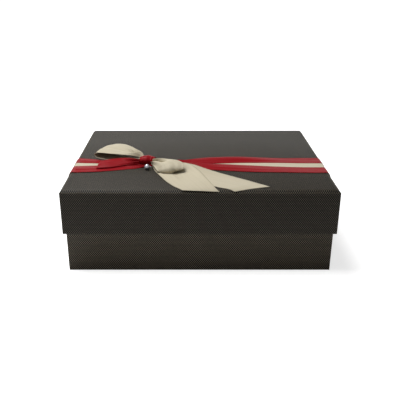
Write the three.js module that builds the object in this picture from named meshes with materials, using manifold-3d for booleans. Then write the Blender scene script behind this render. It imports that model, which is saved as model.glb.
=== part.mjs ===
// Rigid gift box: a covered greyboard base tray and a lift-off lid that telescopes over it, with a
// satin ribbon band and a tied bow fixed to the lid. Millimetres, +Z up. The origin is the centre of
// the underside, X runs along the long side and -Y is the front.
import * as THREE from 'three';
import { mergeVertices } from 'three/addons/utils/BufferGeometryUtils.js';
import Module from 'manifold-3d';

// Driving dimensions: the box
const lidWidth = 290;
const lidDepth = 230;
const closedHeight = 94;
const lidSkirt = 49.4;
const lidBevel = 3;
const boardThickness = 1.5;
const paperThickness = 0.3;
const slipPerSide = 1.1;
const restGap = 0.3;
const turnInDepth = 18;
const linerLap = 4;
const stayLeg = 12;

// Driving dimensions: the ribbon band over the lid
const ribbonThickness = 0.3;
const creamWidth = 38;
const redWidth = 19;
const bandCentreY = -36.5;
const redSpread = 16.2;
const ribbonHold = 15;
const ribbonOverrun = 1;
const laidGap = 0.3;

// Driving dimensions: the bow. The bands are drawn together under the knot.
const knotX = -58.5;
const knotY = -36.5;
const knotHalf = { x: 8, y: 6, z: 4 };
const waistWidth = 4.6;
const waistHeight = 2.6;
const gatherHalfWidth = 8;
const creamGatherHalfWidth = 7;
const gatherLeft = 75;
const gatherRight = 115;
const wedgeLeft = 57;
const wedgeRight = 84;
const wedgeShift = 6;
const loopLow = 1.9;
const loopHigh = 12;
const tailThickness = 0.6;
const tailCutReach = 38;
const frontTailAngle = -56.5;
const rightTailAngle = -35.7;
const redTailAngle = 180;
const waistOverrun = 5;

// Driving dimensions: the bead
const beadRadius = 3.2;
const beadHoleRadius = 0.7;
const beadReach = 14.4;
const capRadius = 0.9;
const capLength = 1.4;

// Worked out from the driving dimensions
const wall = paperThickness + boardThickness + paperThickness;
const lidHalf = { x: lidWidth / 2, y: lidDepth / 2 };
const lidInner = inset(lidHalf, wall);
const baseHalf = inset(lidInner, slipPerSide);
const baseInner = inset(baseHalf, wall);
const lidBottom = closedHeight - lidSkirt;
const lidCeiling = closedHeight - wall;
const boardBevel = bevelInside(lidBevel, paperThickness);
const boardInnerBevel = bevelInside(boardBevel, boardThickness);
const ceilingBevel = bevelInside(boardInnerBevel, paperThickness);
const rimDrop = Math.max(ceilingBevel - slipPerSide, 0) + restGap * Math.SQRT2;
const baseRim = lidCeiling - rimDrop;
const bandTop = closedHeight + 2 * ribbonThickness;

// Points snap to this grid, so that faces which meet share their coordinates exactly.
const grid = 1e-4;

// A 45 degree bevel moved out square to its faces: how far its corner points shift along them.
const bevelShift = Math.tan(Math.PI / 8);

const wasm = await Module();
wasm.setup();

function inset(half, by) {
  return { x: half.x - by, y: half.y - by };
}

// The bevel on the inner face of a layer that keeps its thickness round a bevelled edge.
function bevelInside(bevel, thickness) {
  return Math.max(bevel - thickness * (2 - Math.SQRT2), 0);
}

function solid(geometry) {
  const bare = geometry.index ? geometry.clone() : geometry;
  bare.deleteAttribute('normal');
  bare.deleteAttribute('uv');
  const merged = mergeVertices(bare, grid);
  return new wasm.Manifold(new wasm.Mesh({
    numProp: 3,
    vertProperties: merged.attributes.position.array.map((value) => Math.round(value / grid) * grid),
    triVerts: new Uint32Array(merged.index.array),
  }));
}

function geometryOf(manifold) {
  const mesh = manifold.getMesh();
  const geometry = new THREE.BufferGeometry();
  geometry.setAttribute('position', new THREE.BufferAttribute(mesh.vertProperties, 3));
  geometry.setIndex(new THREE.BufferAttribute(mesh.triVerts, 1));
  geometry.computeVertexNormals();
  return geometry;
}

// A rectangular block about the Z axis, from half sizes and two heights.
function block(half, low, high) {
  const box = new THREE.BoxGeometry(2 * half.x, 2 * half.y, high - low);
  return solid(box.translate(0, 0, (low + high) / 2));
}

// A block whose top edges are bevelled at 45 degrees all round.
function bevelledBlock(half, low, high, bevel) {
  if (bevel === 0) {
    return block(half, low, high);
  }
  const shoulder = new THREE.BoxGeometry(2 * half.x, 2 * half.y, bevel);
  const top = inset(half, bevel);
  const place = shoulder.attributes.position;
  for (let i = 0; i < place.count; i += 1) {
    if (place.getZ(i) > 0) {
      place.setX(i, Math.sign(place.getX(i)) * top.x);
      place.setY(i, Math.sign(place.getY(i)) * top.y);
    }
  }
  return block(half, low, high - bevel).add(solid(shoulder.translate(0, 0, high - bevel / 2)));
}

// A rectangular sleeve: an outer block with an inner block cut right through it.
function sleeve(outer, inner, low, high) {
  return block(outer, low, high).subtract(block(inner, low - 1, high + 1));
}

// A flat outline in plan, given as [x, y] points, raised between two heights.
function slab(points, low, high) {
  const outline = new THREE.Shape(points.map(([x, y]) => new THREE.Vector2(x, y)));
  const geometry = new THREE.ExtrudeGeometry(outline, { depth: high - low, bevelEnabled: false });
  return solid(geometry.translate(0, 0, low));
}

// An outline in the XZ plane, given as [x, z] points, drawn out along Y between two places.
function strapProfile(points, yLow, yHigh) {
  const outline = new THREE.Shape(points.map(([x, z]) => new THREE.Vector2(x, z)));
  const geometry = new THREE.ExtrudeGeometry(outline, { depth: yHigh - yLow, bevelEnabled: false });
  return solid(geometry.rotateX(Math.PI / 2).translate(0, yHigh, 0));
}

// The four corner stays of a tray, and the pockets that they press into the board.
function cornerStay(half, sx, sy, low, high) {
  const inner = inset(half, paperThickness);
  const ring = sleeve(half, inner, low, high);
  const corner = new THREE.BoxGeometry(2 * stayLeg, 2 * stayLeg, high - low);
  return ring.intersect(solid(corner.translate(sx * half.x, sy * half.y, (low + high) / 2)));
}

const corners = {
  front_left: [-1, -1],
  front_right: [1, -1],
  back_left: [-1, 1],
  back_right: [1, 1],
};

const materials = {
  greyboard: { color: 0x8d8778, roughness: 0.95, metalness: 0 },
  kraft: { color: 0xa8855a, roughness: 0.9, metalness: 0 },
  print: { color: 0x37322c, roughness: 0.6, metalness: 0 },
  liner: { color: 0x3b2418, roughness: 0.85, metalness: 0 },
  cream: { color: 0xdccdb2, roughness: 0.45, metalness: 0 },
  red: { color: 0x9d1420, roughness: 0.4, metalness: 0 },
  silver: { color: 0xb4bac4, roughness: 0.2, metalness: 1 },
};

const giftBox = new THREE.Group();

function add(name, finish, manifold) {
  const mesh = new THREE.Mesh(geometryOf(manifold), new THREE.MeshStandardMaterial(materials[finish]));
  mesh.name = name;
  giftBox.add(mesh);
}

// Base tray: folded greyboard, corner stays, printed wrap turned in over the rim, and liner papers.
function buildBase() {
  const boardOuter = inset(baseHalf, paperThickness);
  const boardInner = inset(boardOuter, boardThickness);
  const boardRim = baseRim - paperThickness;
  const floorTop = paperThickness + boardThickness;
  const turnInEnd = baseRim - turnInDepth;
  let tray = block(boardOuter, paperThickness, boardRim);
  tray = tray.subtract(block(boardInner, floorTop, boardRim + 1));
  for (const [place, [sx, sy]] of Object.entries(corners)) {
    const stay = cornerStay(boardOuter, sx, sy, paperThickness, boardRim);
    tray = tray.subtract(stay);
    add(`base_corner_stay_${place}`, 'kraft', stay);
  }
  add('base_board', 'greyboard', tray);
  add('base_bottom_paper', 'print', block(baseHalf, 0, paperThickness));
  const wrap = sleeve(baseHalf, boardOuter, paperThickness, baseRim)
    .add(sleeve(baseHalf, baseInner, boardRim, baseRim))
    .add(sleeve(boardInner, baseInner, turnInEnd, baseRim));
  add('base_wrap', 'print', wrap);
  add('base_floor_liner', 'liner', block(boardInner, floorTop, floorTop + paperThickness));
  add('base_wall_liner', 'liner', sleeve(boardInner, baseInner, floorTop + paperThickness, turnInEnd));
}

// Lid: the same build upside down, one slip clearance larger all round, with bevelled top edges.
function buildLid() {
  const boardOuter = inset(lidHalf, paperThickness);
  const boardInner = inset(boardOuter, boardThickness);
  const boardTop = closedHeight - paperThickness;
  const boardLip = lidBottom + paperThickness;
  const boardCeiling = boardTop - boardThickness;
  const turnInEnd = lidBottom + turnInDepth;
  const lapEnd = boardCeiling - boardInnerBevel - linerLap;
  let tray = bevelledBlock(boardOuter, boardLip, boardTop, boardBevel);
  tray = tray.subtract(bevelledBlock(boardInner, boardLip - 1, boardCeiling, boardInnerBevel));
  for (const [place, [sx, sy]] of Object.entries(corners)) {
    const stay = cornerStay(boardOuter, sx, sy, boardLip, boardTop - boardBevel);
    tray = tray.subtract(stay);
    add(`lid_corner_stay_${place}`, 'kraft', stay);
  }
  add('lid_board', 'greyboard', tray);
  const wrap = bevelledBlock(lidHalf, lidBottom, closedHeight, lidBevel)
    .subtract(bevelledBlock(boardOuter, lidBottom - 1, boardTop, boardBevel))
    .add(sleeve(lidHalf, lidInner, lidBottom, boardLip))
    .add(sleeve(boardInner, lidInner, lidBottom, turnInEnd));
  add('lid_wrap', 'print', wrap);
  const topLiner = bevelledBlock(boardInner, lapEnd, boardCeiling, boardInnerBevel)
    .subtract(bevelledBlock(lidInner, lapEnd - 1, lidCeiling, ceilingBevel));
  add('lid_top_liner', 'liner', topLiner);
  add('lid_wall_liner', 'liner', sleeve(boardInner, lidInner, turnInEnd, lapEnd));
}

// One ribbon of the band: a flat run over the lid's top, and at each end a leg down the skirt,
// round the lip and up inside, where it is glued. Lift is the distance to the lid's own faces.
function bandRibbon(outline, yLow, yHigh, lift) {
  const far = lift + ribbonThickness;
  const topEnd = lidHalf.x - lidBevel;
  let ribbon = slab(outline(topEnd), closedHeight + lift, closedHeight + far);
  // The leg's face at one distance from the lid, from the lid's top to the glued end.
  const face = (off) => [
    [topEnd - ribbonOverrun, closedHeight + off], [topEnd + off * bevelShift, closedHeight + off],
    [lidHalf.x + off, closedHeight - lidBevel + off * bevelShift], [lidHalf.x + off, lidBottom - off],
    [lidInner.x - off, lidBottom - off], [lidInner.x - off, lidBottom + ribbonHold],
  ];
  for (const side of [-1, 1]) {
    const leg = [...face(far), ...face(lift).reverse()].map(([x, z]) => [side * x, z]);
    ribbon = ribbon.add(strapProfile(leg, yLow, yHigh));
  }
  return ribbon;
}

function buildBands() {
  const creamFront = bandCentreY - creamWidth / 2;
  const creamRear = bandCentreY + creamWidth / 2;
  const cream = (end) => [
    [-end, creamFront], [knotX - gatherLeft, creamFront], [knotX, knotY - creamGatherHalfWidth],
    [knotX + gatherRight, creamFront], [end, creamFront], [end, creamRear],
    [knotX + gatherRight, creamRear], [knotX, knotY + creamGatherHalfWidth],
    [knotX - gatherLeft, creamRear], [-end, creamRear],
  ];
  add('band_cream', 'cream', bandRibbon(cream, creamFront, creamRear, 0));

  // The two red ribbons run side by side from wedge to wedge, and part to show the cream between.
  for (const [name, side] of [['band_red_front', -1], ['band_red_rear', 1]]) {
    const outerY = bandCentreY + side * (redSpread + redWidth / 2);
    const innerY = bandCentreY + side * (redSpread - redWidth / 2);
    const meetY = knotY + side * laidGap / 2;
    const red = (end) => [
      [-end, outerY], [knotX - gatherLeft, outerY], [knotX, knotY + side * gatherHalfWidth],
      [knotX + gatherRight, outerY], [end, outerY], [end, innerY],
      [knotX + gatherRight, innerY], [knotX + wedgeRight, meetY + wedgeShift], [knotX, meetY],
      [knotX - wedgeLeft, meetY + wedgeShift], [knotX - gatherLeft, innerY], [-end, innerY],
    ];
    const yLow = Math.min(outerY, innerY);
    const yHigh = Math.max(outerY, innerY);
    add(name, 'red', bandRibbon(red, yLow, yHigh, ribbonThickness));
  }
}

// A ribbon tail: a thin sheet that comes down from the knot and lies flat, cut to its plan outline.
// The run is the [distance, height] line of its underside, from the start at the given angle.
function tail(start, angle, run, outline) {
  const upper = run.map(([distance, height]) => [distance, height + tailThickness]).reverse();
  const sheet = strapProfile([...run, ...upper], -tailCutReach, tailCutReach);
  const turned = sheet.rotate([0, 0, angle]).translate([start[0], start[1], closedHeight]);
  return turned.intersect(slab(outline, closedHeight - 1, closedHeight + 2 * loopHigh));
}

// The cream bow ribbon: two loops and two tails of one ribbon, joined by its waist inside the knot.
function buildBow() {
  const waistZ = bandTop + laidGap + knotHalf.z;
  const waistEnd = knotHalf.x + waistOverrun;
  const bar = (width, height, end) => {
    const box = new THREE.BoxGeometry(2 * end, width, height);
    return solid(box.translate(knotX, knotY, waistZ));
  };
  const at = ([x, y]) => [knotX + x, knotY + y];
  const leftLoop = slab([
    [-9.5, -2.6], [-9.5, 3], [-15, 20], [-24, 32], [-40, 41.5], [-54, 39], [-64.5, 19],
    [-52, 12], [-33, 2], [-19, 1],
  ].map(at), closedHeight + loopLow, closedHeight + loopHigh);
  const rightLoop = slab([
    [9.5, 3], [20, -4], [36, -16], [44, -28.5], [37.5, -39.5], [26, -48.5], [13, -49],
    [9, -36], [7.5, -20], [9.5, -3],
  ].map(at), closedHeight + loopLow, closedHeight + loopHigh);
  const frontTail = tail(at([8, -7]), frontTailAngle, [[0, 3], [30, 1.2], [46, laidGap], [100, laidGap]], [
    [7, -11], [9, -30], [16, -46.5], [28, -65], [40.5, -77], [77.5, -77], [69.5, -59],
    [59, -34], [48.5, -15], [24, -5], [11, -6],
  ].map(at));
  const rightTail = tail(at([8, -5]), rightTailAngle, [[0, 3], [60, 1.2], [86, laidGap], [146, laidGap]], [
    [12, -6], [44.5, -16], [59.5, -23], [76.5, -22], [92, -31], [112, -49], [131, -68.5],
    [94, -77], [71.5, -65.5], [40, -38], [14, -14],
  ].map(at));
  const bow = leftLoop.add(rightLoop).add(frontTail).add(rightTail)
    .add(bar(waistWidth, waistHeight, waistEnd));
  add('bow_ribbon', 'cream', bow);

  // The red knot ribbon: the knot with a way through for the waist, and its tail over the band.
  const knotBall = new THREE.SphereGeometry(1, 20, 12);
  knotBall.scale(knotHalf.x, knotHalf.y, knotHalf.z).rotateX(Math.PI / 2);
  knotBall.scale(1, knotHalf.y / knotHalf.z, knotHalf.z / knotHalf.y);
  const wayWidth = waistWidth + 2 * laidGap;
  const wayHeight = waistHeight + 2 * laidGap;
  const redTail = tail(at([-1, 0]), redTailAngle, [[0, 1.2], [10, 0.9], [60, 0.9]], [
    [-1, -4.5], [-12, -3.5], [-31, -5], [-42, -14], [-57, -18], [-55, 9], [-38, 0.5],
    [-20, -0.5], [-8, -0.5], [-1, 0],
  ].map(at));
  const knot = solid(knotBall.translate(knotX, knotY, waistZ)).add(redTail)
    .subtract(bar(wayWidth, wayHeight, waistEnd));
  add('knot_ribbon', 'red', knot);
}

// A small metal bead at the foot of the knot, lying along X, with its end cap.
function buildBead() {
  const arc = 12;
  const profile = [];
  const startAngle = Math.asin(beadHoleRadius / beadRadius);
  for (let step = 0; step <= arc; step += 1) {
    const angle = startAngle + (Math.PI - 2 * startAngle) * step / arc;
    profile.push(new THREE.Vector2(beadRadius * Math.sin(angle), -beadRadius * Math.cos(angle)));
  }
  profile.push(profile[0].clone());
  const centre = [knotX, knotY - beadReach, closedHeight + laidGap + beadRadius];
  const bead = new THREE.LatheGeometry(profile, 20).rotateZ(Math.PI / 2).translate(...centre);
  add('bead', 'silver', solid(bead));
  const capPlace = knotX + beadRadius + laidGap + capLength / 2;
  const cap = new THREE.CylinderGeometry(capRadius, capRadius, capLength, 12).rotateZ(Math.PI / 2);
  add('bead_cap', 'silver', solid(cap.translate(capPlace, centre[1], centre[2])));
}

buildBase();
buildLid();
buildBands();
buildBow();
buildBead();

export default giftBox;
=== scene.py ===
"""A rigid gift box with a lift-off lid, covered in dotted paper, with a satin band and a tied bow.

Everything is in metres in the box's own frame: X along the long side, -Y to the front, +Z up, with
the origin at the centre of the underside. Lists of ribbon points are in millimetres from the bow's
place on the lid: X and Y from the knot, Z from the lid's top.
"""

import math

import bmesh
import bpy
from bpy.props import FloatProperty, FloatVectorProperty, PointerProperty
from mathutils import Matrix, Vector, noise


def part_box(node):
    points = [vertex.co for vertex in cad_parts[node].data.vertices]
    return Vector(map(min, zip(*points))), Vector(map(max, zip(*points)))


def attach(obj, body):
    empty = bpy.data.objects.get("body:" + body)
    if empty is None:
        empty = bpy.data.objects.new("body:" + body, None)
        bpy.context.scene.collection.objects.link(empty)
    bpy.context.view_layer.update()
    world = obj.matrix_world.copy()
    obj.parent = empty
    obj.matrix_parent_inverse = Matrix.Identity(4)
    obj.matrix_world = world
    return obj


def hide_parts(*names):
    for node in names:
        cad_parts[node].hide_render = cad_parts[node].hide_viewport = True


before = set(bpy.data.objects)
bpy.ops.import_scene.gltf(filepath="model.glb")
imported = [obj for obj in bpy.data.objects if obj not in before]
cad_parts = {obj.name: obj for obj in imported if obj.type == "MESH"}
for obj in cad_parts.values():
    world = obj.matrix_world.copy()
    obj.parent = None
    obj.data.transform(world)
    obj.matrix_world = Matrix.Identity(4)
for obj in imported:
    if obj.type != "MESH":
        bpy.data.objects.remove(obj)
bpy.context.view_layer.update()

bl_info = {
    "name": "Gift box",
    "version": (1, 0, 0),
    "blender": (4, 5, 0),
    "location": "3D View > Sidebar > Gift box",
    "description": "Builds a covered rigid gift box with a satin band and a tied bow",
    "category": "Object",
}

MM = 0.001
SAME_PLACE = 1e-6  # points closer than this, in metres, are in one place
MERGE = 1e-7  # points closer than this are joined


# Places taken from the frame

LID_LOW, LID_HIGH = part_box("lid_wrap")
BASE_LOW, BASE_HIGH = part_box("base_wrap")
BAND_LOW, BAND_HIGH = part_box("band_cream")
BEAD_LOW, BEAD_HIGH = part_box("bead")
CAP_LOW, CAP_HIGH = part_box("bead_cap")
LINER = 0.3 * MM
STAY_GAP = 0.124 * MM  # how far below the foot of the lid's bevel its corner stays end
LID_BEVEL = LID_HIGH.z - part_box("lid_corner_stay_front_left")[1].z - STAY_GAP

# How thick the walls are with their paper and liner
WALL = LID_HIGH.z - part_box("lid_top_liner")[1].z + LINER
BASE_WALL = BASE_HIGH.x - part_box("base_wall_liner")[1].x + LINER

KNOT = Vector(((BEAD_LOW.x + BEAD_HIGH.x) / 2, (BAND_LOW.y + BAND_HIGH.y) / 2, LID_HIGH.z))


def from_knot(x, y, z):
    """A point in metres from millimetres beside the knot and above the lid."""
    return KNOT + Vector((x, y, z)) * MM


# Sizes and colours that a user would change


def length(name, description, default):
    return FloatProperty(name=name, description=description, default=default, unit="LENGTH",
                         precision=5)


def colour(name, description, default):
    return FloatVectorProperty(name=name, description=description, default=default,
                               subtype="COLOR", size=3, min=0.0, max=1.0)


def amount(name, description, default):
    return FloatProperty(name=name, description=description, default=default, min=0.0, max=1.0,
                         subtype="FACTOR")


class CoverSettings(bpy.types.PropertyGroup):
    """The printed paper and how it is folded round the board."""
    ground: colour("Ground", "Colour of the paper between the dots", (0.0026, 0.0022, 0.0015))
    dots: colour("Dots", "Colour of the printed dots", (0.148, 0.125, 0.090))
    across: length("Dot pitch across", "Distance between dots along X", 2.2 * MM)
    along: length("Dot pitch along", "Distance between rows of dots", 2.9 * MM)
    cover: amount("Dot cover", "Height of the printed wave above which a dot shows", 0.5)
    softness: amount("Dot softness", "How gradually a dot fades into the ground", 0.2)
    # Makes the base's paper paler than the lid's same paper, in place of the light that the base
    # catches: painted light.
    base_painted_light: FloatProperty(name="Base shade", description="How much paler the base's paper is",
                              default=1.85, min=0.5, max=2.0)
    sheet: length("Sheet", "Thickness of the printed paper", 0.28 * MM)
    fold_radius: length("Fold radius", "Rounding where the paper turns a corner", 0.5 * MM)
    crease_width: length("Crease width", "Width of the crease inside the top edge", 0.9 * MM)
    crease_depth: length("Crease depth", "Depth of the crease inside the top edge", 0.25 * MM)
    turn_in: length("Turn-in", "How far the paper runs inside past the rim", 18 * MM)
    flap_step: length("Flap step", "How far the end flaps stand out over the corner tabs", 0.12 * MM)


class RibbonSettings(bpy.types.PropertyGroup):
    """The satin ribbons of the band and the bow."""
    cream: colour("Cream", "Colour of the wide ribbon", (0.48, 0.431, 0.322))
    red: colour("Red", "Colour of the narrow ribbons", (0.235, 0.005, 0.009))
    wide: length("Wide ribbon", "Width of the cream ribbon", 38 * MM)
    narrow: length("Narrow ribbon", "Width of the red ribbons", 19 * MM)
    cloth: length("Cloth", "Thickness of the ribbons", 0.3 * MM)


class StageSettings(bpy.types.PropertyGroup):
    """Camera and lamps."""
    lens: length("Lens", "Focal length of the camera", 51.453 * MM)
    pitch: FloatProperty(name="Pitch", description="How far the camera looks down",
                         default=math.radians(22.488), subtype="ANGLE")
    overhead: FloatProperty(name="Overhead lamp", description="Power of the lamp above",
                            default=17.5, unit="POWER")
    fill: FloatProperty(name="Front lamp", description="Power of the lamp at the front left",
                        default=0.8, unit="POWER")
    ambient: amount("Ambient", "Strength of the light from all round", 0.13)


# Node helpers


def node(tree, kind, inputs=None, **settings):
    """A new node, with its settings, and each input either set or linked."""
    made = tree.nodes.new(kind)
    for key, value in settings.items():
        setattr(made, key, value)
    for key, value in (inputs or {}).items():
        if isinstance(value, bpy.types.NodeSocket):
            tree.links.new(value, made.inputs[key])
        else:
            made.inputs[key].default_value = value
    return made


def calc(tree, operation, *values):
    """The result of one Math node."""
    return node(tree, "ShaderNodeMath", dict(enumerate(values)), operation=operation).outputs[0]


def remap(tree, value, low, high, to_low, to_high, smooth=True):
    """A value mapped from one range to another and clamped."""
    return node(tree, "ShaderNodeMapRange", {"Value": value, 1: low, 2: high, 3: to_low, 4: to_high},
                interpolation_type="SMOOTHSTEP" if smooth else "LINEAR").outputs[0]


def blend_colours(tree, factor, first, second):
    """Two colours mixed by a factor."""
    return node(tree, "ShaderNodeMix", {0: factor, 6: first, 7: second}, data_type="RGBA").outputs[2]


def spread(tree, noise_value, to_low, to_high):
    """A noise, whose values mostly lie between 0.3 and 0.7, over a range of its own."""
    return remap(tree, noise_value, 0.3, 0.7, to_low, to_high)


def speckle(tree, vector, scale, detail=2.0, roughness=0.5):
    """A noise with as many grains to the metre as its scale."""
    return node(tree, "ShaderNodeTexNoise", {"Vector": vector, "Scale": scale, "Detail": detail,
                                             "Roughness": roughness}).outputs[0]


def stretched(tree, vector, scale):
    """The vector scaled along each axis, for a noise that is longer one way."""
    return node(tree, "ShaderNodeMapping", {"Vector": vector, "Scale": scale}).outputs[0]


def group(name, inputs, outputs):
    """A shader node group with its sockets: returns the tree, its input sockets and its end node."""
    tree = bpy.data.node_groups.new(name, "ShaderNodeTree")
    for socket, kind in inputs.items():
        tree.interface.new_socket(socket, in_out="INPUT", socket_type=kind)
    for socket in outputs:
        tree.interface.new_socket(socket, in_out="OUTPUT", socket_type="NodeSocketFloat")
    start = tree.nodes.new("NodeGroupInput")
    return tree, start.outputs, tree.nodes.new("NodeGroupOutput")


def place(tree, shared, inputs):
    """The outputs of a node group placed in a material with its own values."""
    return node(tree, "ShaderNodeGroup", inputs, node_tree=shared).outputs


def material(name):
    """An empty material: returns it, its tree and its Principled shader."""
    made = bpy.data.materials.new(name)
    made.use_nodes = True
    tree = made.node_tree
    return made, tree, tree.nodes["Principled BSDF"]


def bump(tree, shader, height, distance, strength=1.0):
    """Gives the surface the relief of a height, at most a distance deep."""
    made = node(tree, "ShaderNodeBump", {"Height": height, "Distance": distance,
                                         "Strength": strength})
    tree.links.new(made.outputs[0], shader.inputs["Normal"])


VECTOR = "NodeSocketVector"
NUMBER = "NodeSocketFloat"


def printed_dots():
    """Staggered dots on a lattice: a mask that is 1 on a dot and 0 between them."""
    tree, given, end = group("Printed dots", {"Vector": VECTOR, "Across": NUMBER, "Along": NUMBER,
                                              "Cover": NUMBER, "Softness": NUMBER}, ["Mask"])
    sheet = node(tree, "ShaderNodeSeparateXYZ", {0: given["Vector"]}).outputs
    waves = []
    for axis, pitch in ((0, "Across"), (1, "Along")):
        turns = calc(tree, "DIVIDE", sheet[axis], given[pitch])
        waves.append(calc(tree, "COSINE", calc(tree, "MULTIPLY", turns, 2 * math.pi)))
    lattice = calc(tree, "MULTIPLY", *waves)
    low = calc(tree, "SUBTRACT", given["Cover"], given["Softness"])
    high = calc(tree, "ADD", given["Cover"], given["Softness"])
    tree.links.new(remap(tree, lattice, low, high, 0.0, 1.0), end.inputs["Mask"])
    return tree


def paper_grain():
    """Fine fibres and a slow unevenness, both about 0.5."""
    tree, given, end = group("Paper grain", {"Vector": VECTOR, "Fibre size": NUMBER},
                             ["Fibres", "Unevenness"])
    fibres_per_metre = calc(tree, "DIVIDE", 1.0, given["Fibre size"])
    patches_per_metre = 22.0
    fibres = speckle(tree, given["Vector"], fibres_per_metre, 4.0, 0.6)
    tree.links.new(fibres, end.inputs["Fibres"])
    tree.links.new(speckle(tree, given["Vector"], patches_per_metre), end.inputs["Unevenness"])
    return tree


def satin_weave():
    """Warp threads along the ribbon, soft streaks, and the close-woven selvedge at both edges. The
    streaks serve as painted sheen in a ribbon's colour, and as changes in its roughness.
    """
    tree, given, end = group("Satin weave", {"Vector": VECTOR, "Thread": NUMBER,
                                             "Half width": NUMBER},
                             ["Threads", "Streaks", "Selvedge"])
    sheet = node(tree, "ShaderNodeSeparateXYZ", {0: given["Vector"]}).outputs
    turns = calc(tree, "DIVIDE", sheet[0], given["Thread"])
    warp = calc(tree, "SINE", calc(tree, "MULTIPLY", turns, 2 * math.pi))
    float_scale, streak_scale = (3600.0, 500.0, 1.0), (420.0, 16.0, 1.0)
    floats = speckle(tree, stretched(tree, given["Vector"], float_scale), 1.0, 1.0)
    threads = calc(tree, "MULTIPLY_ADD", warp, 0.35, floats)
    streaks_and_painted_sheen = speckle(tree, stretched(tree, given["Vector"], streak_scale), 1.0, 3.0)
    from_edge = calc(tree, "SUBTRACT", given["Half width"], calc(tree, "ABSOLUTE", sheet[0]))
    tree.links.new(threads, end.inputs["Threads"])
    tree.links.new(streaks_and_painted_sheen, end.inputs["Streaks"])
    solid, gone = 0.5 * MM, 1.0 * MM
    tree.links.new(remap(tree, from_edge, solid, gone, 1.0, 0.0), end.inputs["Selvedge"])
    return tree


def coat(tree, shader, tone, rough):
    """Feeds a material's colour and roughness."""
    tree.links.new(tone, shader.inputs["Base Color"])
    tree.links.new(rough, shader.inputs["Roughness"])


def rgba(value, share=1.0):
    """A colour, made paler or darker by a share, with full alpha."""
    return (*(share * channel for channel in value), 1.0)


SHARED = {}  # node groups by name
FINISH = {}  # materials by name


def printed_paper(name, settings, on_uv, shade=1.0):
    """Dark paper with small pale dots, a little paler where a fold is rubbed. Shade makes the whole
    paper paler or darker, as painted light.
    """
    made, tree, shader = material(name)
    where = node(tree, "ShaderNodeTexCoord").outputs["UV" if on_uv else "Object"]
    dots = place(tree, SHARED["dots"], {"Vector": where, "Across": settings.across,
                                        "Along": settings.along, "Cover": settings.cover,
                                        "Softness": settings.softness})["Mask"]
    grain = place(tree, SHARED["grain"], {"Vector": where, "Fibre size": 0.5 * MM})
    rubbed = node(tree, "ShaderNodeAttribute", attribute_name="fold").outputs["Fac"]
    ink = calc(tree, "MULTIPLY", dots, spread(tree, grain["Fibres"], 0.8, 1.0))
    darker, paler, rubbed_share = 0.8, 1.25, 1.6
    # Shade scales the ground and the dots alike: painted light, not the paper's own tone.
    ground = blend_colours(tree, grain["Unevenness"], rgba(settings.ground, darker * shade),
                           rgba(settings.ground, paler * shade))
    printed = blend_colours(tree, ink, ground, rgba(settings.dots, shade))
    wear = calc(tree, "MULTIPLY", rubbed, remap(tree, grain["Fibres"], 0.45, 0.7, 0.05, 0.4))
    coat(tree, shader, blend_colours(tree, wear, printed, rgba(settings.dots, rubbed_share)),
         remap(tree, grain["Fibres"], 0.2, 0.8, 0.5, 0.62))
    shader.inputs["Specular IOR Level"].default_value = 0.18
    relief = calc(tree, "MULTIPLY_ADD", dots, 0.5, grain["Fibres"])
    bump(tree, shader, relief, 0.03 * MM, 0.5)
    return made


def plain_paper(name, tone, fibre, rough):
    """A plain uncoated paper in one tone."""
    made, tree, shader = material(name)
    where = node(tree, "ShaderNodeTexCoord").outputs["Object"]
    grain = place(tree, SHARED["grain"], {"Vector": where, "Fibre size": fibre})
    fibres = spread(tree, grain["Fibres"], 0.0, 1.0)
    coat(tree, shader, blend_colours(tree, fibres, rgba(tone, 0.8), rgba(tone, 1.2)),
         spread(tree, grain["Unevenness"], rough - 0.05, rough + 0.05))
    shader.inputs["Specular IOR Level"].default_value = 0.3
    bump(tree, shader, grain["Fibres"], 0.06 * MM)
    return made


def greyboard(name):
    """Recycled board: grey, with dark and pale specks pressed in."""
    made, tree, shader = material(name)
    where = node(tree, "ShaderNodeTexCoord").outputs["Object"]
    grain = place(tree, SHARED["grain"], {"Vector": where, "Fibre size": 1.2 * MM})
    specks = speckle(tree, where, 2600.0, 1.0)
    dark_pulp, pale_pulp = (0.20, 0.185, 0.155), (0.34, 0.315, 0.27)
    body = blend_colours(tree, grain["Fibres"], rgba(dark_pulp), rgba(pale_pulp))
    inked = remap(tree, specks, 0.66, 0.74, 0.0, 0.8)
    coat(tree, shader, blend_colours(tree, inked, body, rgba((0.06, 0.055, 0.05))),
         spread(tree, grain["Fibres"], 0.85, 0.98))
    bump(tree, shader, grain["Fibres"], 0.1 * MM)
    return made


def kraft(name):
    """Gummed kraft tape: brown, with its fibres lying down the strip."""
    made, tree, shader = material(name)
    where = node(tree, "ShaderNodeTexCoord").outputs["Object"]
    fibres = speckle(tree, stretched(tree, where, (900.0, 900.0, 120.0)), 1.0, 4.0, 0.6)
    dark_brown, pale_brown = (0.26, 0.15, 0.065), (0.50, 0.33, 0.17)
    coat(tree, shader, blend_colours(tree, fibres, rgba(dark_brown), rgba(pale_brown)),
         spread(tree, fibres, 0.7, 0.85))
    bump(tree, shader, fibres, 0.05 * MM)
    return made


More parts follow.
